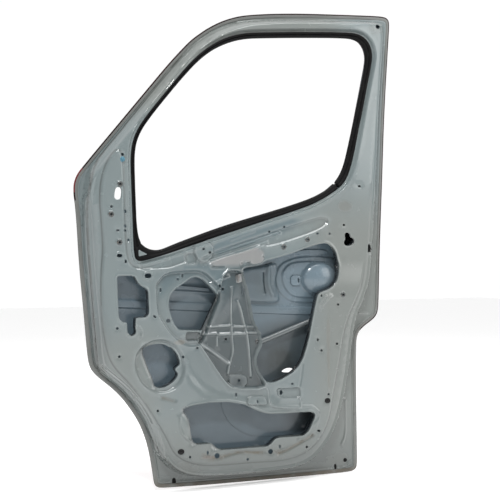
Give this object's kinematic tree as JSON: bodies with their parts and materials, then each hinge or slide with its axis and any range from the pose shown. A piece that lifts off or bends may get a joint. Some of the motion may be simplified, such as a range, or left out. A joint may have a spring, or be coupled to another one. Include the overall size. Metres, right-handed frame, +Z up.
{
  "type": "van front door shell",
  "caption": "Stripped right-hand front door of a panel van: pressed steel inner panel with access openings, window frame with rubber glass-run seal, and painted outer skin.",
  "frame": {"origin": "middle of the outer face of the upper hinge seat", "axes": "+X to the rear of the vehicle, +Y to the outside, +Z up; the upper hinge seat faces -X"},
  "size_m": [1.0348, 0.161, 1.4922],
  "materials": {
    "outer_paint": "gloss dark red paint",
    "inner_paint": "gloss factory paint",
    "cavity_paint": "satin electrocoat inside the cavity",
    "seal_rubber": "matt black rubber",
    "blue_plastic": "blue plastic plug",
    "plated_steel": "zinc-plated steel",
    "bung_rubber": "black rubber bung"
  },
  "bodies": {
    "root": {"outer_skin": "outer_paint", "glass_run_seal": "seal_rubber", "belt_seal": "seal_rubber", "blue_plug": "blue_plastic", "mirror_nuts": "plated_steel", "trim_nuts": "plated_steel", "regulator_nut": "plated_steel", "belt_clip": "plated_steel", "drain_plugs": "bung_rubber", "outer_belt_reinforcement": "cavity_paint", "handle_reinforcement": "cavity_paint", "lower_stiffener": "cavity_paint", "side_impact_beam": "cavity_paint", "beam_front_bracket": "cavity_paint", "beam_rear_bracket": "cavity_paint", "mirror_reinforcement": "cavity_paint", "latch_reinforcement": "cavity_paint", "inner_front_pillar": "inner_paint", "inner_header": "inner_paint", "inner_rear_pillar": "inner_paint", "inner_belt_rail": "inner_paint", "inner_panel_hinge_side": "inner_paint", "inner_panel_speaker_area": "inner_paint", "inner_panel_pocket_rim": "inner_paint", "inner_panel_latch_side": "inner_paint", "inner_panel_sill": "inner_paint", "regulator_panel": "inner_paint", "upper_hinge_seat_plate": "inner_paint", "lower_hinge_seat_plate": "inner_paint"}
  },
  "joints": []
}
